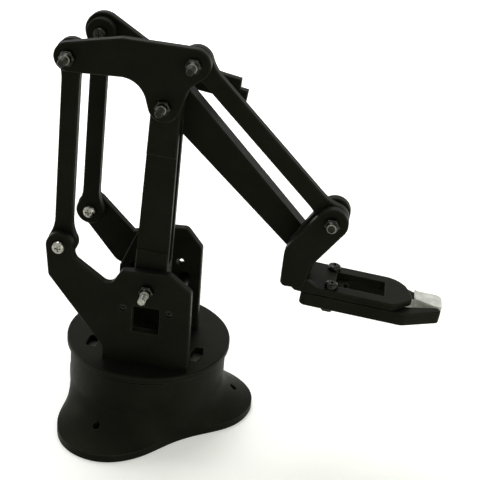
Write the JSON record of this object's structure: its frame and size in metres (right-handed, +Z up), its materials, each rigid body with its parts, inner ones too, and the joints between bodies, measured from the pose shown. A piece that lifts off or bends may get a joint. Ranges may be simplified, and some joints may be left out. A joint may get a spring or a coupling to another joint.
{
  "type": "robot arm",
  "caption": "Small desktop robot arm frame of black plates: a turntable base, parallelogram links that keep the gripper level, and a geared two-jaw gripper.",
  "frame": {"origin": "centre of the base's standing face, on the turntable's axis", "axes": "+Z up along the turntable's axis, +X forward towards the gripper at rest, +Y to the arm's left"},
  "size_m": [0.1647, 0.0937, 0.1761],
  "materials": {
    "plate_plastic": "black, satin, fine moulded grain",
    "base_plastic": "black, satin",
    "ring_plastic": "dark grey, smooth",
    "zinc": "bright zinc plate"
  },
  "bodies": {
    "base": {"base_shell": "base_plastic", "base_cover": "base_plastic", "slip_ring": "ring_plastic", "yaw_bolt": "zinc", "yaw_nut": "zinc"},
    "turntable": {"turntable_disc": "plate_plastic", "side_plate_near": "plate_plastic", "side_plate_far": "plate_plastic", "cross_bars": "zinc", "cross_bar_screws": "zinc", "shoulder_bolt": "zinc", "shoulder_nut": "zinc", "level_bolt": "zinc", "level_nut": "zinc", "crank_bolt": "zinc", "crank_nut": "zinc"},
    "lower_arm": {"lower_arm": "plate_plastic"},
    "level_link": {"level_link": "plate_plastic"},
    "triangle": {"triangle_plate": "plate_plastic", "elbow_bolt": "zinc", "elbow_nut": "zinc", "triangle_bolts": "zinc", "triangle_nuts": "zinc"},
    "crank": {"crank": "plate_plastic"},
    "crank_pin": {"crank_pin": "zinc", "crank_pin_nut": "zinc"},
    "drive_link": {"drive_link": "plate_plastic"},
    "forearm": {"forearm": "plate_plastic", "elbow_lever": "plate_plastic", "lever_bolt": "zinc", "lever_nut": "zinc"},
    "front_link": {"front_link": "plate_plastic"},
    "wrist": {"wrist_cheek": "plate_plastic", "wrist_yoke": "plate_plastic", "wrist_bolt": "zinc", "wrist_nut": "zinc", "cheek_bolt": "zinc", "cheek_nut": "zinc", "gripper_deck": "plate_plastic", "deck_screws": "zinc", "jaw_screws": "zinc", "jaw_nuts": "zinc"},
    "jaw_near": {"jaw_near": "plate_plastic"},
    "jaw_far": {"jaw_far": "plate_plastic"}
  },
  "joints": [
    {"name": "base_yaw", "type": "hinge", "parent": "base", "child": "turntable", "pos_m": [0, 0, 0.0321], "axis": [0, 0, 1], "range_deg": [-90, 90]},
    {"name": "shoulder", "type": "hinge", "parent": "turntable", "child": "lower_arm", "pos_m": [0.0033, -0.0151, 0.071], "axis": [0, 1, 0], "range_deg": [-10, 45]},
    {"name": "elbow_drive", "type": "hinge", "parent": "turntable", "child": "crank", "pos_m": [0.0033, 0.0176, 0.071], "axis": [0, 1, 0], "range_deg": [-20, 16]},
    {"name": "level_swing", "type": "hinge", "parent": "turntable", "child": "level_link", "pos_m": [-0.03422, -0.0206, 0.08571], "axis": [0, 1, 0], "range_deg": [-10, 45]},
    {"name": "elbow_level", "type": "hinge", "parent": "lower_arm", "child": "triangle", "pos_m": [0.00641, -0.021, 0.15149], "axis": [0, 1, 0], "range_deg": [-45, 10]},
    {"name": "forearm_swing", "type": "hinge", "parent": "triangle", "child": "forearm", "pos_m": [0.00641, -0.0092, 0.15149], "axis": [0, 1, 0], "range_deg": [-20, 16]},
    {"name": "front_swing", "type": "hinge", "parent": "triangle", "child": "front_link", "pos_m": [0.01719, -0.0206, 0.16916], "axis": [0, 1, 0], "range_deg": [-20, 16]},
    {"name": "wrist_level", "type": "hinge", "parent": "forearm", "child": "wrist", "pos_m": [0.06457, -0.0096, 0.09512], "axis": [0, 1, 0], "range_deg": [-16, 20]},
    {"name": "pin_turn", "type": "hinge", "parent": "crank", "child": "crank_pin", "pos_m": [-0.03243, 0.0176, 0.08507], "axis": [0, 1, 0], "range_deg": [-16, 20]},
    {"name": "drive_swing", "type": "hinge", "parent": "crank_pin", "child": "drive_link", "pos_m": [-0.03243, 0.0132, 0.08507], "axis": [0, 1, 0], "range_deg": [-10, 45]},
    {"name": "jaw_open", "type": "hinge", "parent": "wrist", "child": "jaw_near", "pos_m": [0.07792, -0.0212, 0.0802], "axis": [-0.0732, 0, -0.9973], "range_deg": [0, 32]},
    {"name": "jaw_mirror", "type": "hinge", "parent": "wrist", "child": "jaw_far", "pos_m": [0.07792, -0.0052, 0.0802], "axis": [-0.0732, 0, -0.9973], "range_deg": [-32, 0]}
  ],
  "couplings": [
    {"joint": "level_swing", "follows": "shoulder", "ratio": 1},
    {"joint": "elbow_level", "follows": "shoulder", "ratio": -1},
    {"joint": "drive_swing", "follows": "shoulder", "ratio": 1},
    {"joint": "forearm_swing", "follows": "elbow_drive", "ratio": 1},
    {"joint": "front_swing", "follows": "elbow_drive", "ratio": 1},
    {"joint": "wrist_level", "follows": "elbow_drive", "ratio": -1},
    {"joint": "pin_turn", "follows": "elbow_drive", "ratio": -1},
    {"joint": "jaw_mirror", "follows": "jaw_open", "ratio": -1}
  ]
}
